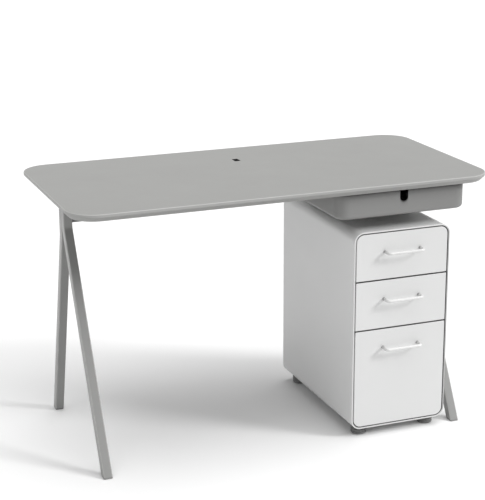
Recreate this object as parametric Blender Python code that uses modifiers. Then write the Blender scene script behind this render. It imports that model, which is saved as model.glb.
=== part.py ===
"""A writing desk: a round-cornered top on two bent A-frames, a slim drawer hung under the top,
and a free-standing three-drawer pedestal.

Metres, +Z up. The origin is on the floor under the middle of the top, +X runs along the top to
the right and +Y to the back. Every drawer slides out along -Y.
"""

import math

import bmesh
import bpy
from mathutils import Matrix, Vector

# Clearances shared by the whole desk.
gap = 0.0003
overcut = 0.010

# Top.
desk_width = 1.192
desk_depth = 0.590
desk_height = 0.730
top_thickness = 0.0205
top_corner = 0.079
top_undercut = 0.012
top_edge_round = 0.0025
underside = desk_height - top_thickness

# Cable slot and its liner.
slot_x = 0.002
slot_y = 0.1405
slot_width = 0.018
slot_length = 0.032
slot_corner = 0.003
grommet_wall = 0.0015
grommet_recess = 0.0006
grommet_drop = 0.003

# A-frames of square tube.
tube = 0.025
tube_corner = 0.003
tube_wall = 0.002
leg_inset = 0.0793
leg_x = desk_width / 2 - leg_inset
pair_y = 0.088
bend_radius = 0.050
front_bend_drop = 0.129
rear_bend_drop = 0.158
front_foot_y = -desk_depth / 2 + 0.048
rear_foot_y = desk_depth / 2 - 0.033
plate_thickness = 0.003
plate_width = 0.110
plate_length = 0.070
plate_corner = 0.010
leg_top = underside - gap - plate_thickness - gap
glide_height = 0.004
glide_plug_height = 0.015
glide_plug_slack = 0.0006
glide_inset = 0.0006
glide_edge = 0.001

# Cross rail between the A-frames.
rail_height = 0.0895
rail_depth = 2 * tube
rail_wall = 0.002
rail_corner = 0.004
rail_front = pair_y - rail_depth / 2
rail_half_length = leg_x - tube / 2 - gap

# Slim drawer under the top.
slim_width = 0.3885
slim_right = desk_width / 2 - 0.0705
slim_x = slim_right - slim_width / 2
slim_front = -desk_depth / 2 + 0.030
slim_headroom = 0.003
slim_height = 0.0715
slim_top = underside - slim_headroom
slim_bottom = slim_top - slim_height
slim_corner = 0.035
slim_bottom_round = 0.011
slim_wall = 0.0025
slim_rail_clearance = 0.018
slim_rear = rail_front - slim_rail_clearance
finger_slot_width = 0.024
finger_slot_depth = 0.0325

# Slim drawer runners: a bar on each side wall rides in a Z-section hung from the top.
slim_runner_sheet = 0.0015
slim_bar_thickness = 0.005
slim_bar_height = 0.014
slim_bar_drop = 0.007
slim_runner_slack = 0.0008
slim_flange = 0.018
slim_runner_inset = 0.003
slim_lip_bottom = slim_top - slim_bar_drop - slim_bar_height - slim_runner_slack - slim_runner_sheet
slim_back_clearance = 0.004

# Pedestal case.
ped_width = 0.290
ped_depth = 0.490
ped_corner = 0.028
ped_sheet = 0.0015
ped_hem = 0.004
ped_hem_depth = 0.012
ped_side_clearance = 0.0272
ped_headroom = 0.039
ped_right = leg_x - tube / 2 - ped_side_clearance
ped_x = ped_right - ped_width / 2
ped_front = -desk_depth / 2 + 0.032
ped_rear = ped_front + ped_depth
ped_top = slim_bottom - ped_headroom
ped_bottom = 0.025
back_panel_inset = 0.008
foot_radius = 0.022
foot_inset_x = 0.0405
foot_inset_y = 0.038
foot_ribs = 3

# Pedestal drawers.
reveal = 0.003
drawer_gap = 0.004
front_thickness = 0.016
front_sheet = 0.0015
front_edge_round = 0.0015
small_front_height = 0.131
middle_front_height = 0.137
front_half_width = ped_width / 2 - ped_hem - reveal
front_corner = ped_corner - ped_hem - reveal
box_sheet = 0.0015
box_side_inset = 0.0145
box_floor_lift = 0.008
small_box_height = 0.100
file_box_headroom = 0.035
box_depth = 0.430
box_front = ped_front + front_thickness + gap

# Three-part drawer runners.
runner_length = 0.420
runner_setback = front_thickness + 0.004
runner_sheet = 0.0012
runner_standoff = 0.0010
runner_slack = 0.0008
runner_flange = 0.0078
outer_runner_height = 0.042
runner_lift = 0.045
file_runner_lift = 0.120

# Handles, their screws and the rails that hanging files hook over.
handle_rod = 0.0085
handle_spacing = 0.107
handle_reach = 0.0315
handle_bend = 0.009
handle_drop = 0.053
screw_shank = 0.004
screw_hole = 0.005
screw_head = 0.008
screw_head_height = 0.0025
file_rail_thickness = 0.003
file_rail_height = 0.012
file_rail_inset = 0.004
file_rail_drop = 0.010

SIDES = (("left", -1), ("right", 1))

for old in list(bpy.data.objects):
    bpy.data.objects.remove(old, do_unlink=True)

parts = bpy.data.collections.new("writing_desk")
cutters = bpy.data.collections.new("cutters")
bpy.context.scene.collection.children.link(parts)
bpy.context.scene.collection.children.link(cutters)
cutters.hide_render = True


def material(name, colour, roughness, metallic=0.0):
    """A Principled material in one plain colour."""
    made = bpy.data.materials.new(name)
    made.use_nodes = True
    shader = made.node_tree.nodes["Principled BSDF"]
    shader.inputs["Base Color"].default_value = (*colour, 1.0)
    shader.inputs["Roughness"].default_value = roughness
    shader.inputs["Metallic"].default_value = metallic
    made.diffuse_color = (*colour, 1.0)
    return made


grey_top = material("grey_top", (0.38, 0.38, 0.37), 0.55)
grey_tray = material("grey_tray", (0.36, 0.36, 0.35), 0.55)
grey_paint = material("grey_paint", (0.33, 0.33, 0.32), 0.45)
white_paint = material("white_paint", (0.80, 0.80, 0.80), 0.40)
white_gloss = material("white_gloss", (0.85, 0.85, 0.85), 0.30)
dark_plastic = material("dark_plastic", (0.09, 0.09, 0.09), 0.60)
black_plastic = material("black_plastic", (0.01, 0.01, 0.01), 0.50)
zinc_steel = material("zinc_steel", (0.60, 0.60, 0.62), 0.35, 1.0)


# Helpers that make and place the solids.


def link(obj, shade, parent):
    """Puts an object in the parts collection, under its drawer's empty where it has one."""
    obj.data.materials.append(shade)
    parts.objects.link(obj)
    if parent:
        obj.parent = parent
        obj.location -= parent.location
    return obj


def solid(bm, name, shade, parent=None):
    """Turns a bmesh drawn in world coordinates into a named sub-part."""
    bmesh.ops.recalc_face_normals(bm, faces=bm.faces)
    origin = Vector(parent.location) if parent else Vector()
    bmesh.ops.translate(bm, vec=-origin, verts=bm.verts)
    mesh = bpy.data.meshes.new(name)
    bm.to_mesh(mesh)
    bm.free()
    obj = bpy.data.objects.new(name, mesh)
    obj.location = origin
    return link(obj, shade, parent)


def cutter(bm, name, parent=None):
    """A helper solid that other pieces are cut with."""
    bmesh.ops.recalc_face_normals(bm, faces=bm.faces)
    origin = Vector(parent.location) if parent else Vector()
    bmesh.ops.translate(bm, vec=-origin, verts=bm.verts)
    mesh = bpy.data.meshes.new(name)
    bm.to_mesh(mesh)
    bm.free()
    obj = bpy.data.objects.new(name, mesh)
    obj.hide_render = True
    obj.display_type = "WIRE"
    obj.parent = parent
    cutters.objects.link(obj)
    return obj


def cut(obj, tool):
    """Cuts one solid out of another and leaves the modifier in place."""
    modifier = obj.modifiers.new(tool.name, "BOOLEAN")
    modifier.operation = "DIFFERENCE"
    modifier.solver = "EXACT"
    modifier.object = tool


def join(obj, tool):
    """Adds one solid to another that it overlaps."""
    modifier = obj.modifiers.new(tool.name, "BOOLEAN")
    modifier.operation = "UNION"
    modifier.solver = "EXACT"
    modifier.object = tool


def block(low, high):
    """A box between two corners."""
    low = Vector(low)
    high = Vector(high)
    bm = bmesh.new()
    bmesh.ops.create_cube(bm, size=1.0)
    bmesh.ops.scale(bm, vec=high - low, verts=bm.verts)
    bmesh.ops.translate(bm, vec=(low + high) / 2, verts=bm.verts)
    return bm


def round_edges(bm, radius, segments, wanted):
    """Rounds, or with one segment chamfers, the edges that the test picks."""
    edges = [edge for edge in bm.edges if wanted(edge)]
    bmesh.ops.bevel(
        bm,
        geom=edges,
        offset=radius,
        offset_type="OFFSET",
        segments=segments,
        profile=0.5,
        affect="EDGES",
        clamp_overlap=True,
    )


def runs_along(axis):
    """Picks the edges that run along one axis: 0, 1 or 2."""

    def wanted(edge):
        run = edge.verts[1].co - edge.verts[0].co
        return abs(run[axis]) > 0.999 * run.length

    return wanted


def lies_at(axis, value):
    """Picks the edges that lie in one level plane."""

    def wanted(edge):
        return all(abs(vert.co[axis] - value) < 1e-5 for vert in edge.verts)

    return wanted


def cylinder_along_y(radius, y_low, y_high, x, z, sides):
    """A round bar along Y."""
    bm = bmesh.new()
    place = Matrix.Translation((x, (y_low + y_high) / 2, z)) @ Matrix.Rotation(math.pi / 2, 4, "X")
    bmesh.ops.create_cone(
        bm,
        cap_ends=True,
        segments=sides,
        radius1=radius,
        radius2=radius,
        depth=y_high - y_low,
        matrix=place,
    )
    return bm


def bent_path(corners, radius, steps):
    """The corners of a route with each inner one replaced by an arc of the given radius."""
    route = [Vector(corners[0])]
    for before, corner, after in zip(corners, corners[1:], corners[2:]):
        corner = Vector(corner)
        back = (Vector(before) - corner).normalized()
        ahead = (Vector(after) - corner).normalized()
        half = back.angle(ahead) / 2
        centre = corner + (back + ahead).normalized() * radius / math.sin(half)
        start = corner + back * radius / math.tan(half)
        turn = math.pi - 2 * half
        axis = back.cross(ahead).normalized()
        for step in range(steps + 1):
            spun = Matrix.Rotation(-turn * step / steps, 3, axis) @ (start - centre)
            route.append(centre + spun)
    route.append(Vector(corners[-1]))
    return route


def poly_curve(name, route, cyclic=False):
    """A curve object through the points of a route."""
    curve = bpy.data.curves.new(name, "CURVE")
    curve.dimensions = "3D"
    spline = curve.splines.new("POLY")
    spline.points.add(len(route) - 1)
    for point, place in zip(spline.points, route):
        point.co = (*place, 1.0)
    spline.use_cyclic_u = cyclic
    return curve


def extrusion(name, outline, y_low, y_high, shade, parent=None):
    """A flat outline of (x, z) points carried along Y."""
    curve = poly_curve(name, [(x, z, 0.0) for x, z in outline], cyclic=True)
    curve.dimensions = "2D"
    curve.fill_mode = "BOTH"
    curve.extrude = (y_high - y_low) / 2
    obj = bpy.data.objects.new(name, curve)
    obj.location = (0.0, (y_low + y_high) / 2, 0.0)
    obj.rotation_euler = (math.pi / 2, 0.0, 0.0)
    return link(obj, shade, parent)


def turned(name, profile, place, rotation, sides, shade, parent=None):
    """A profile of (radius, height) points, from axis to axis, turned with a Screw modifier."""
    mesh = bpy.data.meshes.new(name)
    points = [(radius, 0.0, height) for radius, height in profile]
    mesh.from_pydata(points, [(i, i + 1) for i in range(len(points) - 1)], [])
    obj = bpy.data.objects.new(name, mesh)
    obj.location = place
    obj.rotation_euler = rotation
    screw = obj.modifiers.new("turn", "SCREW")
    screw.axis = "Z"
    screw.steps = sides
    screw.render_steps = sides
    screw.use_merge_vertices = True
    screw.merge_threshold = 0.00005
    screw.use_normal_flip = True
    return link(obj, shade, parent)


def empty_for(name, x, y, z):
    """The point that a drawer's pieces hang from and slide with."""
    obj = bpy.data.objects.new(name, None)
    obj.location = (x, y, z)
    parts.objects.link(obj)
    return obj


# The desk.


def make_top():
    """The top: round corners, a small round on the upper edge and a slanted undercut below."""
    half_x = desk_width / 2
    half_y = desk_depth / 2
    bm = block((-half_x, -half_y, underside), (half_x, half_y, desk_height))
    round_edges(bm, top_corner, 12, runs_along(2))
    round_edges(bm, top_undercut, 1, lies_at(2, underside))
    round_edges(bm, top_edge_round, 2, lies_at(2, desk_height))
    desktop = solid(bm, "desktop", grey_top)
    bm = block(
        (slot_x - slot_width / 2, slot_y - slot_length / 2, underside - overcut),
        (slot_x + slot_width / 2, slot_y + slot_length / 2, desk_height + overcut),
    )
    round_edges(bm, slot_corner, 3, runs_along(2))
    cut(desktop, cutter(bm, "cable_slot_cut"))


def make_grommet():
    """The liner of the cable slot, open through its middle."""
    half_x = slot_width / 2 - gap
    half_y = slot_length / 2 - gap
    low = (slot_x - half_x, slot_y - half_y, underside - grommet_drop)
    high = (slot_x + half_x, slot_y + half_y, desk_height - grommet_recess)
    bm = block(low, high)
    round_edges(bm, slot_corner - gap, 3, runs_along(2))
    grommet = solid(bm, "cable_grommet", black_plastic)
    bm = block(
        (low[0] + grommet_wall, low[1] + grommet_wall, low[2] - overcut),
        (high[0] - grommet_wall, high[1] - grommet_wall, high[2] + overcut),
    )
    round_edges(bm, slot_corner - grommet_wall, 3, runs_along(2))
    cut(grommet, cutter(bm, "grommet_cut"))


def tube_profile():
    """The square section of a leg, as a closed curve for the bevel."""
    half = tube / 2 - tube_corner
    outline = []
    for quarter in range(4):
        turn = quarter * math.pi / 2
        centre = Matrix.Rotation(turn, 2) @ Vector((half, half))
        for step in range(4):
            angle = turn + step * math.pi / 6
            edge = centre + tube_corner * Vector((math.cos(angle), math.sin(angle)))
            outline.append((edge.x, edge.y, 0.0))
    curve = poly_curve("tube_profile", outline, cyclic=True)
    curve.dimensions = "2D"
    curve.fill_mode = "NONE"
    obj = bpy.data.objects.new("tube_profile", curve)
    obj.hide_render = True
    cutters.objects.link(obj)
    return obj


def make_leg(name, x, top_y, bend_drop, foot_y, profile, trims):
    """A hollow leg: upright under the top, bent once, then straight to the floor."""
    bend = (x, top_y, desk_height - bend_drop)
    slope = (top_y - foot_y) / bend[2]
    corners = [(x, top_y, leg_top + overcut), bend, (x, foot_y - slope * overcut, -overcut)]
    curve = poly_curve(name + "_path", bent_path(corners, bend_radius, 5))
    curve.bevel_mode = "OBJECT"
    curve.bevel_object = profile
    path = bpy.data.objects.new(name + "_path", curve)
    cutters.objects.link(path)
    bpy.context.view_layer.update()
    graph = bpy.context.evaluated_depsgraph_get()
    mesh = bpy.data.meshes.new_from_object(path.evaluated_get(graph))
    mesh.name = name
    bpy.data.objects.remove(path, do_unlink=True)
    bm = bmesh.new()
    bm.from_mesh(mesh)
    bmesh.ops.remove_doubles(bm, verts=bm.verts, dist=1e-6)
    leg = solid(bm, name, grey_paint)
    bpy.data.meshes.remove(mesh)
    shell = leg.modifiers.new("tube_wall", "SOLIDIFY")
    shell.thickness = tube_wall
    shell.offset = -1.0
    shell.use_even_offset = True
    for trim in trims:
        cut(leg, trim)


def make_glide(name, x, foot_y, slope):
    """The plastic foot of a leg, with a plug that leans with the tube it fits into."""
    stretch = math.sqrt(1 + slope * slope)
    half_x = tube / 2 - glide_inset
    half_y = tube / 2 * stretch - glide_inset
    top = glide_height - gap
    bm = block((x - half_x, foot_y - half_y, 0.0), (x + half_x, foot_y + half_y, top))
    round_edges(bm, tube_corner, 3, runs_along(2))
    round_edges(bm, glide_edge, 1, lies_at(2, 0.0))
    glide = solid(bm, name, grey_tray)

    plug_x = tube / 2 - tube_wall - glide_plug_slack
    plug_y = plug_x * stretch
    low = (x - plug_x, -plug_y, glide_height / 2)
    high = (x + plug_x, plug_y, glide_height + glide_plug_height)
    bm = block(low, high)
    lean = Matrix.Identity(4)
    lean[1][2] = slope
    lean[1][3] = foot_y - slope * glide_height
    bmesh.ops.transform(bm, matrix=lean, verts=bm.verts)
    join(glide, cutter(bm, name + "_plug"))


def make_a_frames():
    """Two A-frames, each of two legs, a plate under the top and two plastic feet."""
    profile = tube_profile()
    reach = desk_width
    below = cutter(block((-reach, -reach, -0.1), (reach, reach, glide_height)), "floor_trim")
    above = cutter(block((-reach, -reach, leg_top), (reach, reach, desk_height)), "top_trim")
    front_y = pair_y - tube / 2 - gap / 2
    rear_y = pair_y + tube / 2 + gap / 2
    for side, sign in SIDES:
        x = sign * leg_x
        for end, top_y, drop, foot_y in (
            ("front", front_y, front_bend_drop, front_foot_y),
            ("rear", rear_y, rear_bend_drop, rear_foot_y),
        ):
            slope = (top_y - foot_y) / (desk_height - drop)
            make_leg(f"{end}_leg_{side}", x, top_y, drop, foot_y, profile, (below, above))
            make_glide(f"{end}_leg_glide_{side}", x, foot_y + slope * glide_height, slope)
        low = (x - plate_width / 2, pair_y - plate_length / 2, underside - gap - plate_thickness)
        high = (x + plate_width / 2, pair_y + plate_length / 2, underside - gap)
        bm = block(low, high)
        round_edges(bm, plate_corner, 3, runs_along(2))
        solid(bm, f"leg_plate_{side}", grey_paint)


def make_cross_rail():
    """The hollow rail that ties the A-frames together under the top."""
    low = Vector((-rail_half_length, rail_front, leg_top - rail_height))
    high = Vector((rail_half_length, rail_front + rail_depth, leg_top))
    bm = block(low, high)
    round_edges(bm, rail_corner, 3, runs_along(0))
    rail = solid(bm, "cross_rail", grey_paint)
    wall = Vector((-overcut, rail_wall, rail_wall))
    bm = block(low + wall, high - wall)
    round_edges(bm, rail_corner - rail_wall, 2, runs_along(0))
    cut(rail, cutter(bm, "rail_hollow"))


# The slim drawer.


def make_slim_tray(slide):
    """The tray: round corners, a round lower edge, a finger slot and a low back."""
    low = Vector((slim_x - slim_width / 2, slim_front, slim_bottom))
    high = Vector((slim_x + slim_width / 2, slim_rear, slim_top))
    bm = block(low, high)
    round_edges(bm, slim_corner, 6, runs_along(2))
    round_edges(bm, slim_bottom_round, 3, lies_at(2, slim_bottom))
    tray = solid(bm, "slim_drawer_tray", grey_tray, slide)
    wall = Vector((slim_wall, slim_wall, slim_wall))
    lift = Vector((0.0, 0.0, slim_wall + overcut))
    bm = block(low + wall, high - wall + lift)
    round_edges(bm, slim_corner - slim_wall, 6, runs_along(2))
    round_edges(bm, slim_bottom_round - slim_wall, 3, lies_at(2, slim_bottom + slim_wall))
    cut(tray, cutter(bm, "slim_tray_hollow", slide))

    radius = finger_slot_width / 2
    centre_z = slim_top - finger_slot_depth + radius
    through = slim_front + 2 * slim_wall
    bm = cylinder_along_y(radius, slim_front - overcut, through, slim_x, centre_z, 24)
    cut(tray, cutter(bm, "finger_slot_round", slide))
    bm = block(
        (slim_x - radius, slim_front - overcut, centre_z),
        (slim_x + radius, through, slim_top + overcut),
    )
    cut(tray, cutter(bm, "finger_slot_mouth", slide))

    back_top = slim_lip_bottom - slim_back_clearance
    bm = block(
        (low.x - overcut, slim_rear - slim_corner, back_top),
        (high.x + overcut, slim_rear + overcut, slim_top + overcut),
    )
    cut(tray, cutter(bm, "low_back_cut", slide))


def make_slim_runners(slide):
    """A bar on each side wall, and the Z-section under the top that carries it."""
    bar_top = slim_top - slim_bar_drop
    bar_bottom = bar_top - slim_bar_height
    y_low = slim_front + slim_corner + slim_runner_inset
    y_high = slim_rear - slim_corner - slim_runner_inset
    for side, sign in SIDES:

        def across(inward, sign=sign):
            return slim_x + sign * (slim_width / 2 - inward)

        bar_outer = slim_wall + gap
        bar_inner = bar_outer + slim_bar_thickness
        xs = sorted((across(bar_outer), across(bar_inner)))
        bm = block((xs[0], y_low, bar_bottom), (xs[1], y_high, bar_top))
        solid(bm, f"slim_runner_bar_{side}", zinc_steel, slide)

        web = bar_inner + slim_runner_slack
        top = underside - gap
        sheet = slim_runner_sheet
        lip_top = slim_lip_bottom + sheet
        outline = [
            (across(web), top),
            (across(web + slim_flange), top),
            (across(web + slim_flange), top - sheet),
            (across(web + sheet), top - sheet),
            (across(web + sheet), slim_lip_bottom),
            (across(bar_outer + slim_runner_slack), slim_lip_bottom),
            (across(bar_outer + slim_runner_slack), lip_top),
            (across(web), lip_top),
        ]
        extrusion(f"slim_runner_track_{side}", outline, y_low, slim_rear, zinc_steel)


# The pedestal.


def make_case():
    """The wrap of the pedestal: thin sheet with a thicker hem round the front."""
    low = Vector((ped_x - ped_width / 2, ped_front, ped_bottom))
    high = Vector((ped_x + ped_width / 2, ped_rear, ped_top))
    bm = block(low, high)
    round_edges(bm, ped_corner, 7, runs_along(1))
    case = solid(bm, "pedestal_case", white_paint)
    for name, inset, start in (
        ("case_hollow", ped_sheet, ped_front + ped_hem_depth),
        ("case_mouth", ped_hem, ped_front - overcut),
    ):
        bm = block(
            (low.x + inset, start, low.z + inset),
            (high.x - inset, high.y + overcut, high.z - inset),
        )
        round_edges(bm, ped_corner - inset, 7, runs_along(1))
        cut(case, cutter(bm, name))

    inset = ped_sheet + gap
    y = ped_rear - back_panel_inset
    bm = block(
        (low.x + inset, y - ped_sheet, low.z + inset),
        (high.x - inset, y, high.z - inset),
    )
    round_edges(bm, ped_corner - inset, 7, runs_along(1))
    solid(bm, "pedestal_back", white_paint)


def make_feet():
    """Four round feet with turned ribs, under the corners of the pedestal."""
    height = ped_bottom - gap
    rib = height / (2 * foot_ribs + 1)
    groove = foot_radius * 0.86
    profile = [(0.0, 0.0), (foot_radius - rib, 0.0), (foot_radius, rib)]
    for index in range(foot_ribs):
        level = rib * (2 * index + 1)
        profile.append((foot_radius, level + rib * 0.55))
        profile.append((groove, level + rib))
        profile.append((groove, level + rib * 1.3))
        profile.append((foot_radius, level + rib * 1.75))
    profile.append((foot_radius, height))
    profile.append((0.0, height))
    for side, sign in SIDES:
        x = ped_x + sign * (ped_width / 2 - foot_inset_x)
        for end, y in (("front", ped_front + foot_inset_y), ("rear", ped_rear - foot_inset_y)):
            turned(f"pedestal_foot_{end}_{side}", profile, (x, y, 0.0), (0, 0, 0), 24, dark_plastic)


def make_front(name, bottom, top, round_top, round_bottom, slide, holes):
    """A drawer front: a shallow pan, open at its back, with the case's corners where it meets them."""
    low = (ped_x - front_half_width, ped_front, bottom)
    high = (ped_x + front_half_width, ped_front + front_thickness, top)

    def at_case_corner(edge):
        level = (edge.verts[0].co.z + edge.verts[1].co.z) / 2
        upper = level > (bottom + top) / 2
        return runs_along(1)(edge) and (round_top if upper else round_bottom)

    bm = block(low, high)
    round_edges(bm, front_corner, 6, at_case_corner)
    round_edges(bm, front_edge_round, 2, lies_at(1, ped_front))
    front = solid(bm, name, white_paint, slide)
    bm = block(
        (low[0] + front_sheet, low[1] + front_sheet, low[2] + front_sheet),
        (high[0] - front_sheet, high[1] + overcut, high[2] - front_sheet),
    )
    round_edges(bm, front_corner - front_sheet, 6, at_case_corner)
    cut(front, cutter(bm, name + "_hollow", slide))
    for hole in holes:
        cut(front, hole)


def make_box(name, bottom, height, slide, holes):
    """An open-topped sheet box behind a drawer front."""
    half = ped_width / 2 - box_side_inset
    low = Vector((ped_x - half, box_front, bottom))
    high = Vector((ped_x + half, box_front + box_depth, bottom + height))
    box = solid(block(low, high), name, white_paint, slide)
    wall = Vector((box_sheet, box_sheet, box_sheet))
    lift = Vector((0.0, 0.0, box_sheet + overcut))
    cut(box, cutter(block(low + wall, high - wall + lift), name + "_hollow", slide))
    for hole in holes:
        cut(box, hole)


def make_handle(name, z, slide):
    """A bent round bar with its two ends against the drawer front."""
    half = handle_spacing / 2
    bar_y = ped_front - handle_reach + handle_rod / 2
    seat = ped_front - gap
    corners = [
        (ped_x - half, seat, z),
        (ped_x - half, bar_y, z),
        (ped_x + half, bar_y, z),
        (ped_x + half, seat, z),
    ]
    curve = poly_curve(name, bent_path(corners, handle_bend, 5))
    curve.bevel_depth = handle_rod / 2
    curve.bevel_resolution = 2
    curve.use_fill_caps = True
    link(bpy.data.objects.new(name, curve), white_gloss, None)
    bar = bpy.data.objects[name]
    bar.parent = slide
    bar.location = -slide.location


def screw_place(sign):
    """How far across the pedestal a handle screw sits."""
    return ped_x + sign * handle_spacing / 2


def make_screw(name, x, z, slide):
    """A handle screw: its head inside the drawer box and its shank through to the handle."""
    head_seat = box_front + box_sheet + gap
    shank_end = ped_front + gap
    length = head_seat - shank_end
    profile = [
        (0.0, 0.0),
        (screw_shank / 2, 0.0),
        (screw_shank / 2, length),
        (screw_head / 2, length),
        (screw_head / 2, length + screw_head_height * 0.5),
        (screw_head * 0.3, length + screw_head_height),
        (0.0, length + screw_head_height),
    ]
    turned(name, profile, (x, shank_end, z), (-math.pi / 2, 0, 0), 12, zinc_steel, slide)


def channel(web, tip, z, height):
    """A C-section outline: its web at one x, the tips of its flanges at another."""
    inner = web + math.copysign(runner_sheet, tip - web)
    top = z + height / 2
    bottom = z - height / 2
    return [
        (web, bottom),
        (tip, bottom),
        (tip, bottom + runner_sheet),
        (inner, bottom + runner_sheet),
        (inner, top - runner_sheet),
        (tip, top - runner_sheet),
        (tip, top),
        (web, top),
    ]


def make_runners(name, z, slide, middle_slide):
    """Left and right runners: an outer channel on the case, a middle one, an inner one on the box."""
    step = runner_sheet + runner_slack
    middle_height = outer_runner_height - 2 * step
    inner_height = middle_height - 2 * step
    y_low = ped_front + runner_setback
    y_high = y_low + runner_length
    outer_web = ped_sheet + runner_standoff
    middle_web = outer_web + step
    inner_web = box_side_inset - gap
    for side, sign in SIDES:

        def across(inward, sign=sign):
            return ped_x + sign * (ped_width / 2 - inward)

        outline = channel(across(outer_web), across(outer_web + runner_flange), z, outer_runner_height)
        extrusion(f"{name}_runner_outer_{side}", outline, y_low, y_high, zinc_steel)
        outline = channel(across(middle_web), across(middle_web + runner_flange), z, middle_height)
        extrusion(f"{name}_runner_middle_{side}", outline, y_low, y_high, zinc_steel, middle_slide)
        outline = channel(across(inner_web), across(middle_web + step), z, inner_height)
        extrusion(f"{name}_runner_inner_{side}", outline, y_low, y_high, zinc_steel, slide)


def make_file_rails(rim, slide):
    """Two flat rails, from the front to the back of the deep box, that hanging files hook over."""
    y_low = box_front + box_sheet + gap
    y_high = box_front + box_depth - box_sheet - gap
    top = rim - file_rail_drop
    for side, sign in SIDES:
        outer = ped_width / 2 - box_side_inset - box_sheet - file_rail_inset
        xs = sorted((ped_x + sign * outer, ped_x + sign * (outer - file_rail_thickness)))
        bm = block((xs[0], y_low, top - file_rail_height), (xs[1], y_high, top))
        solid(bm, f"file_rail_{side}", zinc_steel, slide)


def make_drawers():
    """Two shallow drawers over a deep one, each on its own pair of runners."""
    opening_top = ped_top - ped_hem - reveal
    opening_bottom = ped_bottom + ped_hem + reveal
    middle_top = opening_top - small_front_height - drawer_gap
    file_top = middle_top - middle_front_height - drawer_gap
    file_box_height = file_top - opening_bottom - box_floor_lift - file_box_headroom
    for name, bottom, top, box_height, lift in (
        ("top_drawer", middle_top + drawer_gap, opening_top, small_box_height, runner_lift),
        ("middle_drawer", file_top + drawer_gap, middle_top, small_box_height, runner_lift),
        ("file_drawer", opening_bottom, file_top, file_box_height, file_runner_lift),
    ):
        slide = empty_for(name + "_slide", ped_x, ped_front, (bottom + top) / 2)
        middle_slide = empty_for(name + "_middle_slide", ped_x, ped_front, (bottom + top) / 2)
        handle_z = top - handle_drop
        holes = []
        for side, sign in SIDES:
            bm = cylinder_along_y(
                screw_hole / 2,
                ped_front - overcut,
                box_front + overcut,
                screw_place(sign),
                handle_z,
                12,
            )
            holes.append(cutter(bm, f"{name}_screw_hole_{side}", slide))
            make_screw(f"{name}_handle_screw_{side}", screw_place(sign), handle_z, slide)
        is_top = name == "top_drawer"
        is_bottom = name == "file_drawer"
        make_front(name + "_front", bottom, top, is_top, is_bottom, slide, holes)
        box_bottom = bottom + box_floor_lift
        make_box(name + "_box", box_bottom, box_height, slide, holes)
        make_handle(name + "_handle", handle_z, slide)
        make_runners(name, box_bottom + lift, slide, middle_slide)
        if is_bottom:
            make_file_rails(box_bottom + box_height, slide)


make_top()
make_grommet()
make_a_frames()
make_cross_rail()
slim_slide = empty_for("slim_drawer_slide", slim_x, slim_front, slim_bottom)
make_slim_tray(slim_slide)
make_slim_runners(slim_slide)
make_case()
make_feet()
make_drawers()
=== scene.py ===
import math

import bpy
import numpy as np
from mathutils import Matrix, Vector


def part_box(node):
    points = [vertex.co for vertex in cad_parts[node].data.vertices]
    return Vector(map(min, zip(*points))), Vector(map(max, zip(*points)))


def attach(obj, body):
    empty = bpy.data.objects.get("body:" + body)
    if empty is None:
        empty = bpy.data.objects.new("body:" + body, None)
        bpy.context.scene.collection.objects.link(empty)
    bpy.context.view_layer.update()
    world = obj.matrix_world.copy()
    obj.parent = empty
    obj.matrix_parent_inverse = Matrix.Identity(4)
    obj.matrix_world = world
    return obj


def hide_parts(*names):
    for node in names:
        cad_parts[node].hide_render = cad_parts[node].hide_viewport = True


# Looks of a writing desk: a round-cornered grey top on two A-frames of square tube, a slim drawer
# hung under its right end, and a white three-drawer pedestal.
#
# Metres, +Z up, in the frame of the CAD pieces. Each new piece is a stack of rings worked out with
# numpy, sized from the CAD piece that it stands for.

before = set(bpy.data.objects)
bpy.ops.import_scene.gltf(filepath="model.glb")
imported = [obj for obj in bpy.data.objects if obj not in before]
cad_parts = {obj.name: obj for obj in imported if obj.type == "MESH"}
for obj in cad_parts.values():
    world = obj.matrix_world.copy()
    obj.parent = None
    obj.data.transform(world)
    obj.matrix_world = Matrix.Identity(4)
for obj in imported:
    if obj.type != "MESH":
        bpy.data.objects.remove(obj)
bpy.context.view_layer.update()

SIDES = ("left", "right")
ENDS = ("front", "rear")
DRAWERS = ("top_drawer", "middle_drawer", "file_drawer")

# Sheet and moulding: the gap between pieces that touch, a length too small to see, and how far a
# cut and a fold are eased.
SEAT_GAP = 0.0003
HAIR = 0.0001
CUT_EASE = 0.0003
FOLD_EASE = 0.0004

# Top.
TOP_CORNER = 0.079
TOP_UNDERCUT = 0.012
TOP_EDGE_ROUND = 0.0025
TOP_EDGE_MARGIN = 0.0012
TOP_LAND_START = 0.0008
UNDERCUT_SOFTENING = 0.0007
UNDERCUT_FOOT = 0.0006
SLOT_CORNER = 0.003
SLOT_CHAMFER = 0.0004
SLOT_MARGIN = 0.002
LINER_WALL = 0.0015

# Legs.
TUBE = 0.025
TUBE_CORNER = 0.003
BEND_RADIUS = 0.050
FRONT_BEND_Z = 0.601
REAR_BEND_Z = 0.572
PLUG_SLACK = 0.0026
PLUG_CORNER = 0.0012
PLUG_TIP = 0.001
SHOE_INSET = 0.0006
SOLE_ROUND = 0.0012
# Painted shade on the legs' upper stretch, under the top.
LEG_SHADE = 0.35
LEG_SHADE_HEIGHT = 0.10
RAIL_CORNER = 0.004
RAIL_WALL = 0.002
RAIL_MIDDLE = 0.4

# Slim drawer.
TRAY_CORNER = 0.035
TRAY_CORNER_STEPS = 12
TRAY_BOTTOM_ROUND = 0.011
TRAY_WALL = 0.0025
TRAY_FLOOR_INSETS = (0.10, 0.05, TRAY_BOTTOM_ROUND + 0.001)
FINGER_WIDTH = 0.024
FINGER_DEPTH = 0.0325
FINGER_LIP_ROUND = 0.0020
FINGER_DRAFT = 0.00025
LOW_BACK_STEP = 0.006
LOW_BACK_CLEARANCE = 0.004

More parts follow.
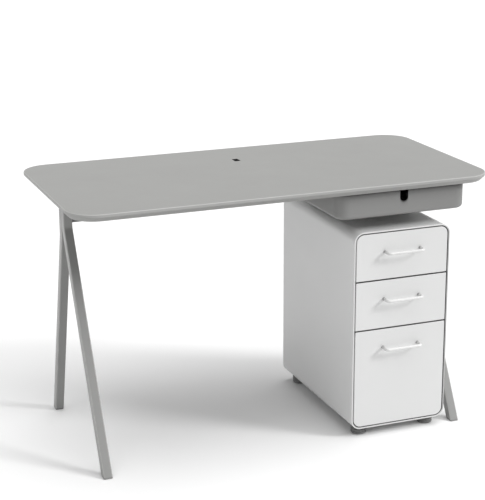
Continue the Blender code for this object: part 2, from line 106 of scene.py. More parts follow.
# Pedestal.
CASE_CORNER = 0.028
CASE_SHEET = 0.0015
CASE_HEM = 0.004
CASE_HEM_DEPTH = 0.012
CASE_EDGE_ROUND = 0.0012
PAN_CORNER = 0.021
PAN_PLAIN_CORNER = 0.0012
PAN_SHEET = 0.0015
PAN_EDGE_ROUND = 0.0013
PAN_FACE_MARGIN = 0.0012
PAN_FACE_INSETS = (0.045, 0.022)
# Painted shade in the gaps round the drawer fronts: how it fades and how strong it is.
GAP_FADE = 0.012
PAN_TOP_SHADE = 0.85
PAN_SIDE_SHADE = 0.10
RIM_SHADE = 0.5
HANDLE_ROD = 0.0085
HANDLE_BEND = 0.009
POST_SHARES = (0.0, 0.12, 0.3, 0.98)
BOX_SHEET = 0.0015
BOX_CORNER = 0.0020
BOX_FLOOR_ROUND = 0.001
BOX_FLOOR_INSETS = (0.02, 0.08)
BOX_HEM = 0.0026
BOX_HEM_HEIGHT = 0.006
FOOT_RIBS = 3


# Shapes.

# Where the straight sides of an outline are cut, as shares of their length.
PLAIN_SHARES = np.array([0.01, 0.06, 0.2, 0.35, 0.5, 0.65, 0.8, 0.94, 0.99])
TUBE_SHARES = {side: np.array([0.06, 0.5, 0.94]) for side in range(4)}


def steps(count):
    """Even shares from 0 to 1, both included."""
    return np.linspace(0.0, 1.0, count + 1)


def middle(low, high):
    """The number half way between two."""
    return (low + high) / 2


def outline(half_a, half_b, radii, per_corner=8, shares=None):
    """A rectangle with round corners, counter-clockwise, as points of a plane.

    Corner k is a quarter circle of its own radius about a centre set in by that radius, in the
    order ++, -+, --, +-. The side after it is cut at its shares of the straight length.
    """
    radii = np.broadcast_to(np.asarray(radii, float), 4)
    signs = np.array([[1, 1], [-1, 1], [-1, -1], [1, -1]])
    centres = signs * (np.array([half_a, half_b]) - radii[:, None])
    angle = np.arange(4)[:, None] * np.pi / 2 + steps(per_corner) * np.pi / 2
    turn = np.stack([np.cos(angle), np.sin(angle)], axis=-1)
    arcs = centres[:, None, :] + radii[:, None, None] * turn
    shares = shares or {}
    pieces = []
    for corner in range(4):
        start, end = arcs[corner, -1], arcs[(corner + 1) % 4, 0]
        share = np.asarray(shares.get(corner, PLAIN_SHARES))[:, None]
        pieces += [arcs[corner], start + (end - start) * share]
    return np.concatenate(pieces)


def inset_outline(half_a, half_b, radii, inset, **extra):
    """The same outline moved inwards: its sides come in by the inset, its corner radii shrink by it."""
    smaller = np.maximum(np.asarray(radii, float) - inset, 0.0003)
    return outline(half_a - inset, half_b - inset, smaller, **extra)


def ring(flat, plane, level, centre=(0.0, 0.0)):
    """Places the points of a flat outline in the plane xy or xz, at a level of the third axis."""
    first = flat[:, 0] + centre[0]
    second = flat[:, 1] + centre[1]
    third = np.broadcast_to(np.asarray(level, float), first.shape)
    order = (first, second, third) if plane == "xy" else (first, third, second)
    return np.stack(order, axis=1)


def quarter_round(radius, count=4):
    """(inset, drop) pairs round a convex edge, from the face above it to the face beside it."""
    angle = steps(count) * np.pi / 2
    return [(radius * (1 - math.sin(a)), radius * (1 - math.cos(a))) for a in angle]


def stack_faces(rows, columns, closed):
    """Quads between neighbouring rings, each ring wrapping round on itself."""
    row = np.arange(rows if closed else rows - 1)[:, None]
    column = np.arange(columns)[None, :]
    above = (row + 1) % rows
    beside = (column + 1) % columns
    corners = [
        row * columns + column,
        row * columns + beside,
        above * columns + beside,
        above * columns + column,
    ]
    return np.stack(corners, axis=-1).reshape(-1, 4)


def signed_volume(points, triangles):
    """The sum of the tetrahedra from the origin to each triangle: negative when it is inside out."""
    a, b, c = (points[triangles[:, k]] for k in range(3))
    return float(np.einsum("ij,ij->i", a, np.cross(b, c)).sum())


def loft(name, rings, finish, edge=None, painted_shade=None, closed=False, crease=32.0):
    """A surface through a stack of rings with equal point counts.

    Closed, the last ring joins the first, as on a wall with an inside. Open, each end is closed
    with a fan to the middle of its ring. The edge value says how exposed a ring is, and the shade
    value how much painted shade it takes: one number for each ring, or one for each of its points.
    """
    rings = np.asarray(rings, float)
    rows, columns = rings.shape[:2]
    points = rings.reshape(-1, 3)
    quads = stack_faces(rows, columns, closed)
    fans = np.zeros((0, 3), int)
    marks = {}
    for mark, values in (("edge", edge), ("painted_shade", painted_shade)):
        values = np.zeros(rows) if values is None else np.asarray(values, float)
        marks[mark] = np.broadcast_to(values.reshape(rows, -1), (rows, columns)).ravel()
    if not closed:
        here = np.arange(columns)
        after = (here + 1) % columns
        first, last = len(points), len(points) + 1
        top = (rows - 1) * columns
        points = np.concatenate([points, [rings[0].mean(0), rings[-1].mean(0)]])
        marks = {mark: np.append(values, [0.0, 0.0]) for mark, values in marks.items()}
        head = np.stack([after, here, np.full(columns, first)], axis=1)
        tail = np.stack([here + top, after + top, np.full(columns, last)], axis=1)
        fans = np.concatenate([head, tail])
    triangles = np.concatenate([quads[:, [0, 1, 2]], quads[:, [0, 2, 3]], fans])
    if signed_volume(points - points.mean(0), triangles) < 0:
        quads, fans = quads[:, ::-1], fans[:, ::-1]
    mesh = bpy.data.meshes.new(name)
    mesh.from_pydata(points.tolist(), [], quads.tolist() + fans.tolist())
    for mark, values in marks.items():
        mesh.attributes.new(mark, "FLOAT", "POINT").data.foreach_set("value", values)
    mesh.shade_smooth()
    mesh.set_sharp_from_angle(angle=math.radians(crease))
    mesh.materials.append(finish)
    piece = bpy.data.objects.new(name, mesh)
    bpy.context.scene.collection.objects.link(piece)
    return piece


def sweep(name, path, section, across, finish, ends=None, edge=None, painted_shade=None):
    """A section carried along a path that stays in one plane.

    At each point the section is laid out on the plane's normal and on the direction square to the
    path in the plane. Where ends gives two heights, the first and last ring are slid along the
    path until they lie level at those heights, as a saw leaves them.
    """
    path = np.asarray(path, float)
    ahead = np.gradient(path, axis=0)
    ahead[0], ahead[-1] = path[1] - path[0], path[-1] - path[-2]
    ahead /= np.linalg.norm(ahead, axis=1, keepdims=True)
    across = np.asarray(across, float)
    beside = np.cross(ahead, across)
    rings = (
        path[:, None, :]
        + section[None, :, :1] * across
        + section[None, :, 1:] * beside[:, None, :]
    )
    if ends:
        for row, height in ((0, ends[0]), (-1, ends[1])):
            slide = (height - rings[row, :, 2]) / ahead[row, 2]
            rings[row] += slide[:, None] * ahead[row]
    return loft(name, rings, finish, edge=edge, painted_shade=painted_shade)


def settle(piece, body, slot, *nodes):
    """Puts a finished piece on its body, in place of the CAD nodes it stands for."""
    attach(piece, body)
    if nodes:
        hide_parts(*nodes)


# Node groups for the effects that several finishes share.


def add(tree, kind, values=(), **settings):
    """Adds a node. Each value goes to the input of that name or number, as a link or a number."""
    made = tree.nodes.new(kind)
    for key, value in settings.items():
        setattr(made, key, value)
    for key, value in dict(values).items():
        if isinstance(value, bpy.types.NodeSocket):
            tree.links.new(value, made.inputs[key])
        else:
            made.inputs[key].default_value = value
    return made


def start_group(name, numbers, outputs):
    """A node group with number inputs, given with their usual values, and number outputs."""
    group = bpy.data.node_groups.new(name, "ShaderNodeTree")
    for label, usual in numbers.items():
        socket = group.interface.new_socket(label, in_out="INPUT", socket_type="NodeSocketFloat")
        socket.default_value = usual
    for label in outputs:
        group.interface.new_socket(label, in_out="OUTPUT", socket_type="NodeSocketFloat")
    inside = add(group, "NodeGroupInput")
    outside = add(group, "NodeGroupOutput")
    place = add(group, "ShaderNodeTexCoord").outputs["Object"]
    return group, inside, outside, place


def noise(tree, place, size, detail=2.0, roughness=0.5):
    """Noise with features of about the given size, in metres, from 0 to 1."""
    scale = add(tree, "ShaderNodeMath", {0: 1.0, 1: size}, operation="DIVIDE").outputs[0]
    made = add(
        tree,
        "ShaderNodeTexNoise",
        {"Vector": place, "Scale": scale, "Detail": detail, "Roughness": roughness},
    )
    return made.outputs["Fac"]


def maths(tree, operation, first, second=0.0, third=0.0, clamp=False):
    """One step of arithmetic on numbers or links."""
    values = {0: first, 1: second, 2: third}
    made = add(tree, "ShaderNodeMath", values, operation=operation, use_clamp=clamp)
    return made.outputs[0]


def make_tone_group():
    """Tone: a fine speckle and a slow drift, mixed, about the middle of 0 to 1."""
    numbers = {"Speckle Size": 0.0008, "Drift Size": 0.15, "Speckle": 0.5, "Drift": 0.5}
    group, inside, outside, place = start_group("tone_speckle", numbers, ["Tone"])
    fine = noise(group, place, inside.outputs["Speckle Size"], 3.0, 0.6)
    slow = noise(group, place, inside.outputs["Drift Size"], 2.0, 0.45)
    fine = maths(group, "MULTIPLY", maths(group, "SUBTRACT", fine, 0.5), inside.outputs["Speckle"])
    slow = maths(group, "MULTIPLY", maths(group, "SUBTRACT", slow, 0.5), inside.outputs["Drift"])
    both = maths(group, "ADD", fine, slow)
    tone = maths(group, "MULTIPLY_ADD", both, 2.0, 0.5, clamp=True)
    group.links.new(tone, outside.inputs["Tone"])
    return group


def make_relief_group():
    """Height: the round dimples of a sprayed coat over the finer tooth of its surface."""
    numbers = {"Dimple Size": 0.002, "Tooth Size": 0.0004, "Tooth": 0.3}
    group, inside, outside, place = start_group("coat_relief", numbers, ["Height"])
    dimples = noise(group, place, inside.outputs["Dimple Size"], 0.0)
    tooth = noise(group, place, inside.outputs["Tooth Size"], 1.0)
    height = maths(group, "MULTIPLY_ADD", tooth, inside.outputs["Tooth"], dimples)
    group.links.new(height, outside.inputs["Height"])
    return group


def make_sheen_group():
    """Roughness: a middle value that handling and wiping have changed in soft patches."""
    numbers = {"Middle": 0.5, "Spread": 0.1, "Patch Size": 0.08, "Tooth Size": 0.002}
    group, inside, outside, place = start_group("handled_sheen", numbers, ["Roughness"])
    patches = noise(group, place, inside.outputs["Patch Size"], 3.0, 0.55)
    tooth = noise(group, place, inside.outputs["Tooth Size"], 1.0)
    mixed = maths(group, "MULTIPLY_ADD", tooth, 0.3, maths(group, "MULTIPLY", patches, 0.7))
    centred = maths(group, "SUBTRACT", mixed, 0.5)
    spread = maths(group, "MULTIPLY", inside.outputs["Spread"], 2.0)
    rough = maths(group, "MULTIPLY_ADD", centred, spread, inside.outputs["Middle"], clamp=True)
    group.links.new(rough, outside.inputs["Roughness"])
    return group


def make_edge_wear_and_highlight_group():
    """Mask: the exposed edges of a piece, broken up so that they look uneven; wear on some finishes, a
    painted highlight on others.
    """
    numbers = {"Amount": 0.5, "Break Size": 0.02, "Evenness": 0.0}
    group, inside, outside, place = start_group("edge_wear_and_highlight", numbers, ["Mask"])
    exposed = add(group, "ShaderNodeAttribute", attribute_name="edge").outputs["Fac"]
    broken = noise(group, place, inside.outputs["Break Size"], 3.0, 0.6)
    # Noise keeps near its middle, so it is stretched about 0.5 before it breaks up the edge.
    lifted = maths(group, "MULTIPLY_ADD", broken, 2.4, -0.7, clamp=True)
    lifted = maths(group, "MAXIMUM", lifted, inside.outputs["Evenness"])
    worn_and_lit = maths(group, "MULTIPLY", exposed, lifted)
    mask = maths(group, "MULTIPLY", worn_and_lit, inside.outputs["Amount"])
    group.links.new(mask, outside.inputs["Mask"])
    return group


def make_gap_shade_group():
    """Mask: painted shade where the mesh's shade value is set, in gaps and under things, broken up a
    little.
    """
    numbers = {"Amount": 0.8, "Break Size": 0.01}
    group, inside, outside, place = start_group("painted_gap_shade", numbers, ["Mask"])
    depth = add(group, "ShaderNodeAttribute", attribute_name="painted_shade").outputs["Fac"]
    broken = noise(group, place, inside.outputs["Break Size"])
    uneven = maths(group, "MULTIPLY_ADD", broken, 0.4, 0.8)
    shade_amount = maths(group, "MULTIPLY", depth, uneven)
    mask = maths(group, "MULTIPLY", shade_amount, inside.outputs["Amount"], clamp=True)
    group.links.new(mask, outside.inputs["Mask"])
    return group


def make_drawn_group():
    """Height and Tone: the long streaks that rolling and drawing leave along Y on sheet steel."""
    numbers = {"Streak Size": 0.0008, "Stretch": 60.0, "Spangle Size": 0.006}
    group, inside, outside, place = start_group("drawn_steel", numbers, ["Height", "Tone"])
    split = add(group, "ShaderNodeSeparateXYZ", {0: place})
    along = maths(group, "DIVIDE", split.outputs["Y"], inside.outputs["Stretch"])
    parts = {"X": split.outputs["X"], "Y": along, "Z": split.outputs["Z"]}
    drawn = add(group, "ShaderNodeCombineXYZ", parts).outputs[0]
    streaks = noise(group, drawn, inside.outputs["Streak Size"], 3.0, 0.6)
    spangle = noise(group, place, inside.outputs["Spangle Size"], 1.0)
    group.links.new(streaks, outside.inputs["Height"])
    tone = maths(group, "MULTIPLY_ADD", spangle, 0.5, maths(group, "MULTIPLY", streaks, 0.5))
    group.links.new(tone, outside.inputs["Tone"])
    return group


TONE = make_tone_group()
RELIEF = make_relief_group()
SHEEN = make_sheen_group()
EDGE_WEAR_AND_HIGHLIGHT = make_edge_wear_and_highlight_group()
GAP_SHADE = make_gap_shade_group()
DRAWN = make_drawn_group()


def use(tree, group, **numbers):
    """Places a group, with its own numbers: speckle_size goes to the input Speckle Size."""
    placed = add(tree, "ShaderNodeGroup", node_tree=group)
    for key, value in numbers.items():
        placed.inputs[key.replace("_", " ").title()].default_value = value
    return placed.outputs


def blend_colours(tree, share, first, second):
    """A colour between two, by a share from 0 to 1.

    A Mix node gives its number, vector and colour sockets the same names, so the colour's own are
    picked by their numbers.
    """
    made = add(tree, "ShaderNodeMix", data_type="RGBA")
    slots = {"Factor": 0, "A": 6, "B": 7}
    for label, value in (("Factor", share), ("A", first), ("B", second)):
        if isinstance(value, bpy.types.NodeSocket):
            tree.links.new(value, made.inputs[slots[label]])
        else:
            made.inputs[slots[label]].default_value = (*value, 1.0)
    return made.outputs[2]


def start_material(name):
    """A new material, its node tree and the Principled shader in it."""
    made = bpy.data.materials.new(name)
    made.use_nodes = True
    tree = made.node_tree
    shader = tree.nodes["Principled BSDF"]
    return made, tree, shader


# What every coated finish shares: painted shade in its gaps, edges polished by rubbing, a clear coat.
GAP_SHADE_AMOUNT = 0.85
GAP_SHADE_BREAK_SIZE = 0.012
GAP_SHADE_SHARE = 0.06
RUB_POLISH = 0.15
COAT_ROUGHNESS = 0.15


def coated(name, deep, pale, worn_and_lit, tone, relief, depth, sheen, edge_look, coat=0.0, gloss=0.5):
    """Paint, laminate or moulded plastic.

    Its colour wanders between deep and pale, turns to its edge colour on exposed edges, which is
    wear on some finishes and a painted highlight on others, darkens with painted shade in the gaps,
    its height has the dimples and tooth of the coat, and its roughness changes in patches.
    """
    made, tree, shader = start_material(name)
    shade = blend_colours(tree, use(tree, TONE, **tone)["Tone"], deep, pale)
    # The edge colour: wear on some finishes, a painted highlight on the frame's tube corners and the
    # top's edge.
    mask = use(tree, EDGE_WEAR_AND_HIGHLIGHT, **edge_look)["Mask"]
    shade = blend_colours(tree, mask, shade, worn_and_lit)
    # Painted shade: the colour goes towards near black where the mesh's shade value is set.
    gap_shade_mask = use(tree, GAP_SHADE, amount=GAP_SHADE_AMOUNT, break_size=GAP_SHADE_BREAK_SIZE)["Mask"]
    shade = blend_colours(tree, gap_shade_mask, shade, tuple(value * GAP_SHADE_SHARE for value in deep))
    tree.links.new(shade, shader.inputs["Base Color"])
    rough = use(tree, SHEEN, **sheen)["Roughness"]
    smoother = maths(tree, "MULTIPLY_ADD", mask, -RUB_POLISH, rough, clamp=True)
    tree.links.new(smoother, shader.inputs["Roughness"])
    height = use(tree, RELIEF, **relief)["Height"]
    bump = add(tree, "ShaderNodeBump", {"Height": height, "Distance": depth, "Strength": 1.0})
    tree.links.new(bump.outputs["Normal"], shader.inputs["Normal"])
    shader.inputs["Specular IOR Level"].default_value = gloss
    shader.inputs["Coat Weight"].default_value = coat
    shader.inputs["Coat Roughness"].default_value = COAT_ROUGHNESS
    return made


def drawn_steel(name, deep, pale, depth, middle_rough):
    """Zinc-plated sheet: streaks along its length, soft spangle, uneven sheen."""
    made, tree, shader = start_material(name)
    drawn = use(tree, DRAWN, streak_size=0.0007, stretch=70.0, spangle_size=0.008)
    shade = blend_colours(tree, drawn["Tone"], deep, pale)
    tree.links.new(shade, shader.inputs["Base Color"])
    rough = use(tree, SHEEN, middle=middle_rough, spread=0.16, patch_size=0.03, tooth_size=0.001)
    tree.links.new(rough["Roughness"], shader.inputs["Roughness"])
    height = drawn["Height"]
    bump = add(tree, "ShaderNodeBump", {"Height": height, "Distance": depth, "Strength": 1.0})
    tree.links.new(bump.outputs["Normal"], shader.inputs["Normal"])
    shader.inputs["Metallic"].default_value = 1.0
    return made


# The lighter edge colour is a painted highlight along the top's edge.
top_laminate = coated(
    "top_laminate",
    deep=(0.262, 0.262, 0.254),
    pale=(0.286, 0.286, 0.278),
    worn_and_lit=(0.46, 0.46, 0.45),
    tone={"speckle_size": 0.0011, "drift_size": 0.22, "speckle": 0.18, "drift": 0.35},
    relief={"dimple_size": 0.0016, "tooth_size": 0.0005, "tooth": 0.6},
    depth=0.000018,
    sheen={"middle": 0.55, "spread": 0.10, "patch_size": 0.11, "tooth_size": 0.0015},
    edge_look={"amount": 0.95, "break_size": 0.05, "evenness": 0.8},
)
tray_plastic = coated(
    "tray_plastic",
    deep=(0.262, 0.262, 0.258),
    pale=(0.290, 0.290, 0.285),
    worn_and_lit=(0.32, 0.32, 0.315),
    tone={"speckle_size": 0.0007, "drift_size": 0.09, "speckle": 0.4, "drift": 0.4},
    relief={"dimple_size": 0.0007, "tooth_size": 0.0003, "tooth": 0.5},
    depth=0.000022,
    sheen={"middle": 0.52, "spread": 0.08, "patch_size": 0.05, "tooth_size": 0.001},
    edge_look={"amount": 0.35, "break_size": 0.02},
    gloss=0.2,
)
# The lighter edge colour is a painted highlight along the tube corners.
frame_paint = coated(
    "frame_paint",
    deep=(0.238, 0.238, 0.233),
    pale=(0.264, 0.264, 0.258),
    worn_and_lit=(0.52, 0.52, 0.51),
    tone={"speckle_size": 0.0009, "drift_size": 0.12, "speckle": 0.5, "drift": 0.4},
    relief={"dimple_size": 0.0018, "tooth_size": 0.0005, "tooth": 0.35},
    depth=0.000030,
    sheen={"middle": 0.45, "spread": 0.10, "patch_size": 0.06, "tooth_size": 0.001},
    edge_look={"amount": 0.8, "break_size": 0.04, "evenness": 0.6},
    coat=0.5,
)
# A darker copy of the frame paint for the rail and leg plates under the top: painted shade.
shaded_frame_paint = coated(
    "shaded_frame_paint",
    deep=(0.105, 0.105, 0.102),
    pale=(0.130, 0.130, 0.127),
    worn_and_lit=(0.20, 0.20, 0.195),
    tone={"speckle_size": 0.0009, "drift_size": 0.10, "speckle": 0.5, "drift": 0.4},
    relief={"dimple_size": 0.0018, "tooth_size": 0.0005, "tooth": 0.35},
    depth=0.000030,
    sheen={"middle": 0.55, "spread": 0.10, "patch_size": 0.06, "tooth_size": 0.001},
    edge_look={"amount": 0.30, "break_size": 0.02},
)
pedestal_paint = coated(
    "pedestal_paint",
    deep=(0.742, 0.744, 0.742),
    pale=(0.792, 0.794, 0.791),
    worn_and_lit=(0.87, 0.87, 0.865),
    tone={"speckle_size": 0.0010, "drift_size": 0.16, "speckle": 0.2, "drift": 0.45},
    relief={"dimple_size": 0.0020, "tooth_size": 0.0006, "tooth": 0.25},
    depth=0.000030,
    sheen={"middle": 0.36, "spread": 0.08, "patch_size": 0.09, "tooth_size": 0.0012},
    edge_look={"amount": 0.40, "break_size": 0.03},
    gloss=0.45,
)
handle_enamel = coated(
    "handle_enamel",
    deep=(0.76, 0.76, 0.755),
    pale=(0.80, 0.80, 0.795),
    worn_and_lit=(0.86, 0.86, 0.855),
    tone={"speckle_size": 0.0008, "drift_size": 0.03, "speckle": 0.2, "drift": 0.5},
    relief={"dimple_size": 0.0022, "tooth_size": 0.0006, "tooth": 0.15},
    depth=0.000020,
    sheen={"middle": 0.28, "spread": 0.08, "patch_size": 0.02, "tooth_size": 0.001},
    edge_look={"amount": 0.30, "break_size": 0.01},
    coat=0.3,
)
shoe_plastic = coated(
    "shoe_plastic",
    deep=(0.20, 0.20, 0.196),
    pale=(0.235, 0.235, 0.230),
    worn_and_lit=(0.30, 0.30, 0.295),
    tone={"speckle_size": 0.0006, "drift_size": 0.02, "speckle": 0.5, "drift": 0.4},
    relief={"dimple_size": 0.0006, "tooth_size": 0.0002, "tooth": 0.5},
    depth=0.000025,
    sheen={"middle": 0.55, "spread": 0.12, "patch_size": 0.015, "tooth_size": 0.0008},
    edge_look={"amount": 0.6, "break_size": 0.006},
)
foot_rubber = coated(
    "foot_rubber",
    deep=(0.165, 0.165, 0.163),
    pale=(0.200, 0.200, 0.198),
    worn_and_lit=(0.24, 0.24, 0.238),
    tone={"speckle_size": 0.0006, "drift_size": 0.02, "speckle": 0.6, "drift": 0.4},
    relief={"dimple_size": 0.0006, "tooth_size": 0.0002, "tooth": 0.6},
    depth=0.000035,
    sheen={"middle": 0.60, "spread": 0.12, "patch_size": 0.015, "tooth_size": 0.0008},
    edge_look={"amount": 0.7, "break_size": 0.006},
)
liner_plastic = coated(
    "liner_plastic",
    deep=(0.010, 0.010, 0.010),
    pale=(0.018, 0.018, 0.018),
    worn_and_lit=(0.05, 0.05, 0.05),
    tone={"speckle_size": 0.0005, "drift_size": 0.01, "speckle": 0.5, "drift": 0.5},
    relief={"dimple_size": 0.0005, "tooth_size": 0.0002, "tooth": 0.5},
    depth=0.000020,
    sheen={"middle": 0.50, "spread": 0.12, "patch_size": 0.01, "tooth_size": 0.0006},
    edge_look={"amount": 0.4, "break_size": 0.004},
)
zinc_plate = drawn_steel(
    "zinc_plate",
    deep=(0.46, 0.47, 0.49),
    pale=(0.66, 0.67, 0.69),
    depth=0.000012,
    middle_rough=0.36,
)


# The top and its cable slot.


def make_top():
    """The top: rings run from the slot's rim over the face, round the upper edge, down the land,
    in along the slanted undercut, back under the top to the slot, and up its wall."""
    low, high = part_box("desktop")
    half_x, half_y = high.x, high.y
    slot_low, slot_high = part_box("cable_grommet")
    centre = (middle(slot_low.x, slot_high.x), middle(slot_low.y, slot_high.y))
    slot_a = (slot_high.x - slot_low.x) / 2 + SLOT_CHAMFER
    slot_b = (slot_high.y - slot_low.y) / 2 + SLOT_CHAMFER
    dense = {"per_corner": 16}

    def edge_ring(inset, z):
        """The top's outline, moved inwards."""
        flat = inset_outline(half_x, half_y, TOP_CORNER, inset, **dense)
        return ring(flat, "xy", z)

    def slot_ring(grow, z):
        """The slot's outline, moved outwards."""
        flat = outline(slot_a + grow, slot_b + grow, SLOT_CORNER + grow, **dense)
        return ring(flat, "xy", z, centre)

    def between(first, second):
        """Rings spread from one ring to another."""
        return [first + (second - first) * share for share in (0.12, 0.3, 0.5, 0.7, 0.88)]

    upper = [slot_ring(0.0, high.z - SLOT_CHAMFER), slot_ring(SLOT_CHAMFER, high.z)]
    exposed = [0.6] * len(upper)
    near = slot_ring(SLOT_MARGIN, high.z)
    far = edge_ring(TOP_EDGE_ROUND + TOP_EDGE_MARGIN, high.z)
    face = [near] + between(near, far) + [far]
    exposed += [0.0] * len(face)
    rounding = quarter_round(TOP_EDGE_ROUND, 5)
    rounded = [edge_ring(inset, high.z - drop) for inset, drop in rounding]
    # These edge values lighten the upper round and the land below it: a painted highlight.
    exposed += [0.2, 0.6, 1.0, 1.0, 0.9, 0.7]
    turn_z = low.z + TOP_UNDERCUT
    soft = UNDERCUT_SOFTENING
    slant = TOP_UNDERCUT - UNDERCUT_FOOT
    profile = [
        (0.0, high.z - TOP_EDGE_ROUND - TOP_LAND_START, 0.7),
        (0.0, turn_z + soft * 1.6, 0.7),
        (0.0, turn_z + soft, 0.5),
        (soft * 0.16, turn_z + soft * 0.22, 0.4),
        (soft * 0.7, turn_z - soft * 0.7, 0.4),
        (soft * 1.4, turn_z - soft * 1.4, 0.4),
        (slant, turn_z - slant, 0.4),
        (TOP_UNDERCUT, low.z, 0.2),
    ]
    land = [edge_ring(inset, z) for inset, z, _ in profile]
    exposed += [value for _, _, value in profile]
    far = edge_ring(TOP_UNDERCUT + TOP_EDGE_MARGIN, low.z)
    near = slot_ring(SLOT_MARGIN, low.z)
    lower = [far] + between(far, near) + [near, slot_ring(0.0, low.z)]
    exposed += [0.0] * len(lower)
    rings = upper + face + rounded + land + lower
    return loft("desk_panel", rings, top_laminate, edge=exposed, closed=True)


def make_slot_liner():
    """The liner: a thin wall carried round the slot, its upper edge rounded over."""
    low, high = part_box("cable_grommet")
    centre = (middle(low.x, high.x), middle(low.y, high.y))
    half_a, half_b = (high.x - low.x) / 2, (high.y - low.y) / 2
    lip = LINER_WALL / 2
    angle = steps(6) * np.pi
    profile = [(0.0, low.z)] + [
        (lip * (1 - math.cos(a)), high.z - lip + lip * math.sin(a)) for a in angle
    ]
    profile += [(LINER_WALL, low.z)]
    rings = []
    for inset, z in profile:
        flat = inset_outline(half_a, half_b, SLOT_CORNER, inset, per_corner=8)
        rings.append(ring(flat, "xy", z, centre))
    edge = [0.0] + [0.8] * len(angle) + [0.0]
    return loft("cable_slot_liner", rings, liner_plastic, edge=edge, closed=True)


# The A-frames.


def leg_line(node, end, bend_z):
    """(top y, foot y, slope) of a leg's centre line, from its box.

    The foot's edge is the centre line's y there plus half the tube stretched by the lean, so the
    foot is found by repeating that sum until it settles.
    """
    low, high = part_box(node)
    outward = -1.0 if end == "front" else 1.0
    near = high.y if end == "front" else low.y
    far = low.y if end == "front" else high.y
    top_y = near + outward * TUBE / 2
    slope = 0.0
    foot_y = far
    for _ in range(12):
        foot_y = far - outward * TUBE / 2 * math.sqrt(1 + slope * slope) - slope * low.z
        slope = (top_y - foot_y) / bend_z
    return top_y, foot_y, slope


def bent_line(corners, radius, count):
    """A route through corner points, each inner corner replaced by a circle's arc."""
    corners = [np.asarray(corner, float) for corner in corners]
    route = [corners[0][None]]
    for before, corner, after in zip(corners, corners[1:], corners[2:]):
        back = (before - corner) / np.linalg.norm(before - corner)
        ahead = (after - corner) / np.linalg.norm(after - corner)
        half = math.acos(float(np.clip(back @ ahead, -1, 1))) / 2
        bisector = (back + ahead) / np.linalg.norm(back + ahead)
        centre = corner + bisector * radius / math.sin(half)
        turn = (steps(count) - 0.5) * (math.pi - 2 * half)
        along = (ahead - back) / np.linalg.norm(ahead - back)
        arc = centre + radius * (np.sin(turn)[:, None] * along - np.cos(turn)[:, None] * bisector)
        route.append(arc)
    route.append(corners[-1][None])
    return np.concatenate(route)


def make_leg(end, side):
    """A leg: the tube's rounded square section carried down its bent centre line.

    It is rubbed where the section's |x| + |y| passes that of its flats, which is round its
    It gets a painted highlight where the section's |x| + |y| passes that of its flats, which is
    round its corners, and painted shade evenly over the last stretch up to its top, under the desk top.
    """
    node = f"{end}_leg_{side}"
    low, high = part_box(node)
    x = middle(low.x, high.x)
    bend_z = FRONT_BEND_Z if end == "front" else REAR_BEND_Z
    top_y, foot_y, slope = leg_line(node, end, bend_z)
    corners = [(x, top_y, high.z), (x, top_y, bend_z), (x, foot_y + slope * low.z, low.z)]
    path = bent_line(corners, BEND_RADIUS, 20)
    foot_run = path[-1] - path[-2]
    shares = np.array([0.02, 0.25, 0.5, 0.75, 0.98])[:, None]
    path = np.concatenate([path[:-1], path[-2] + foot_run * shares, path[-1:]])
    section = outline(TUBE / 2, TUBE / 2, TUBE_CORNER, per_corner=5, shares=TUBE_SHARES)
    past_flat = np.abs(section).sum(axis=1) - (TUBE - TUBE_CORNER)
    at_corner = np.clip(past_flat / (TUBE_CORNER * (math.sqrt(2) - 1)), 0.0, 1.0)
    # Painted highlight along the tube's corners.
    lit_corners = np.ones((len(path), 1)) * at_corner
    # Painted shade on the leg's upper stretch, under the top.
    under_top = np.interp(path[:, 2], [high.z - LEG_SHADE_HEIGHT, high.z], [0.0, LEG_SHADE])
    return sweep(
        f"frame_{end}_leg_{side}",
        path,
        section,
        (1, 0, 0),
        frame_paint,
        ends=(high.z, low.z),
        edge=lit_corners,
        painted_shade=under_top,
    )


def make_shoe(end, side):
    """A leg's plastic foot: a pad just inside the tube's outline with a rounded sole, and a plug
    that leans with the tube."""
    leg = f"{end}_leg_{side}"
    low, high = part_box(f"{end}_leg_glide_{side}")
    bend_z = FRONT_BEND_Z if end == "front" else REAR_BEND_Z
    _, foot_y, slope = leg_line(leg, end, bend_z)
    leg_low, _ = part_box(leg)
    x = middle(low.x, high.x)
    stretch = math.sqrt(1 + slope * slope)
    pad_a = TUBE / 2 - SHOE_INSET
    pad_b = TUBE / 2 * stretch - SHOE_INSET
    pad_top = leg_low.z - SEAT_GAP
    profile = [(low.z + rise, inset) for inset, rise in quarter_round(SOLE_ROUND, 4)]
    profile += [(pad_top - FOLD_EASE, 0.0), (pad_top - FOLD_EASE / 4, FOLD_EASE / 4)]
    profile += [(pad_top, FOLD_EASE)]
    rings = []
    for z, inset in profile:
        flat = inset_outline(pad_a, pad_b, TUBE_CORNER - SHOE_INSET, inset, per_corner=6)
        rings.append(ring(flat, "xy", z, (x, foot_y + slope * z)))
    plug_a = TUBE / 2 - PLUG_SLACK
    for z, inset in ((pad_top, 0.0), (high.z - PLUG_TIP, 0.0), (high.z, PLUG_TIP)):
        flat = inset_outline(plug_a, plug_a * stretch, PLUG_CORNER, inset, per_corner=6)
        rings.append(ring(flat, "xy", z, (x, foot_y + slope * z)))
    edge = [0.8, 0.9, 1.0, 0.9, 0.5, 0.0, 0.4, 0.4, 0.0, 0.0, 0.0]
    return loft(f"frame_{end}_shoe_{side}", rings, shoe_plastic, edge=edge)


